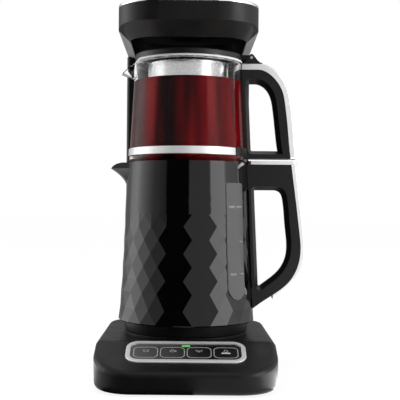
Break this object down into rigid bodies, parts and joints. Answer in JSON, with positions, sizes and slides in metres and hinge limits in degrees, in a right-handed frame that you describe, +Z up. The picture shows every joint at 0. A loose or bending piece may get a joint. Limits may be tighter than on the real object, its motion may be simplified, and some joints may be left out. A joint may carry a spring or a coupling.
{
  "type": "automatic tea maker",
  "caption": "Electric tea maker: a kettle with a glass teapot on top, standing on a base with a key panel, under a hinged head that doses hot water into the teapot.",
  "frame": {"origin": "on the surface that the feet stand on, under the common axis of the kettle and the teapot", "axes": "+Z up along that axis; +X towards the two handles; -Y towards the front, with the key panel"},
  "size_m": [0.2171, 0.2568, 0.3822],
  "materials": {
    "housing_black": "satin moulded plastic",
    "inner_black": "plain moulded plastic",
    "grip_black": "satin moulded plastic",
    "kettle_black": "high gloss, cut into flat diamonds below",
    "rubber_black": "matt",
    "silicone_grey": "translucent",
    "chrome_trim": "bright plated",
    "fascia_black": "gloss",
    "key_black": "satin",
    "light_green": "clear tinted lens",
    "circuit_board": "solder resist",
    "steel": "fine brushed",
    "clear_glass": "polished",
    "gauge_clear": "translucent",
    "tea_red": "liquid"
  },
  "bodies": {
    "base": {"base_housing": "housing_black", "base_bottom_cover": "inner_black", "base_feet": "rubber_black", "base_screws": "steel", "panel_bezel": "chrome_trim", "panel_plate": "fascia_black", "status_light": "light_green", "key_switches": "inner_black", "control_board": "circuit_board", "board_screws": "steel", "seat_ring": "housing_black", "base_connector": "inner_black", "water_coupling": "inner_black", "inlet_hose": "rubber_black", "pump": "inner_black", "riser_hose": "rubber_black", "riser_nozzle": "inner_black", "power_board": "circuit_board", "cord_gland": "inner_black", "column_shell": "housing_black", "column_back_cover": "housing_black", "column_screws": "steel", "back_cover_screws": "steel", "hinge_pins": "steel"},
    "head": {"head_shell": "housing_black", "head_trim": "chrome_trim", "head_underside": "housing_black", "head_liner": "inner_black", "head_screws": "steel", "head_duct": "inner_black", "shower_head": "inner_black"},
    "kettle": {"kettle_body": "kettle_black", "kettle_plinth": "grip_black", "kettle_socket": "inner_black", "kettle_valve": "inner_black", "heating_plate": "steel", "kettle_mouth_ring": "grip_black", "gauge_window": "gauge_clear", "kettle_handle": "grip_black", "kettle_handle_trim": "chrome_trim", "handle_bar": "chrome_trim", "handle_screws": "steel"},
    "teapot": {"teapot_glass": "clear_glass", "tea": "tea_red", "infuser_basket": "steel", "teapot_band": "chrome_trim", "teapot_handle": "grip_black", "teapot_handle_trim": "chrome_trim", "lid_hinge_bracket": "grip_black", "lid_hinge_pin": "steel"},
    "lid": {"teapot_lid": "grip_black", "lid_seal": "silicone_grey"},
    "key_boil": {"boil_key": "key_black"},
    "key_tea": {"tea_key": "key_black"},
    "key_brew": {"brew_key": "key_black"},
    "key_warm": {"warm_key": "key_black"}
  },
  "joints": [
    {"name": "head_tilt", "type": "hinge", "parent": "base", "child": "head", "pos_m": [0, 0.118, 0.364], "axis": [-1, 0, 0], "range_deg": [0, 75]},
    {"name": "kettle_lift", "type": "slide", "parent": "base", "child": "kettle", "axis": [0, 0, 1], "range_m": [0, 0.006]},
    {"name": "teapot_lift", "type": "slide", "parent": "kettle", "child": "teapot", "axis": [0, 0, 1], "range_m": [0, 0.006]},
    {"name": "lid_open", "type": "hinge", "parent": "teapot", "child": "lid", "pos_m": [0.0675, 0, 0.34], "axis": [0, 1, 0], "range_deg": [0, 75]},
    {"name": "boil_press", "type": "slide", "parent": "base", "child": "key_boil", "axis": [0, 0.342, -0.9397], "range_m": [0, 0.001], "stiffness_N_per_m": 400, "springref_m": -0.0002},
    {"name": "tea_press", "type": "slide", "parent": "base", "child": "key_tea", "axis": [0, 0.342, -0.9397], "range_m": [0, 0.001], "stiffness_N_per_m": 400, "springref_m": -0.0002},
    {"name": "brew_press", "type": "slide", "parent": "base", "child": "key_brew", "axis": [0, 0.342, -0.9397], "range_m": [0, 0.001], "stiffness_N_per_m": 400, "springref_m": -0.0002},
    {"name": "warm_press", "type": "slide", "parent": "base", "child": "key_warm", "axis": [0, 0.342, -0.9397], "range_m": [0, 0.001], "stiffness_N_per_m": 400, "springref_m": -0.0002}
  ],
  "couplings": [
    {"joint": "lid_open", "follows": "head_tilt", "ratio": 1}
  ]
}
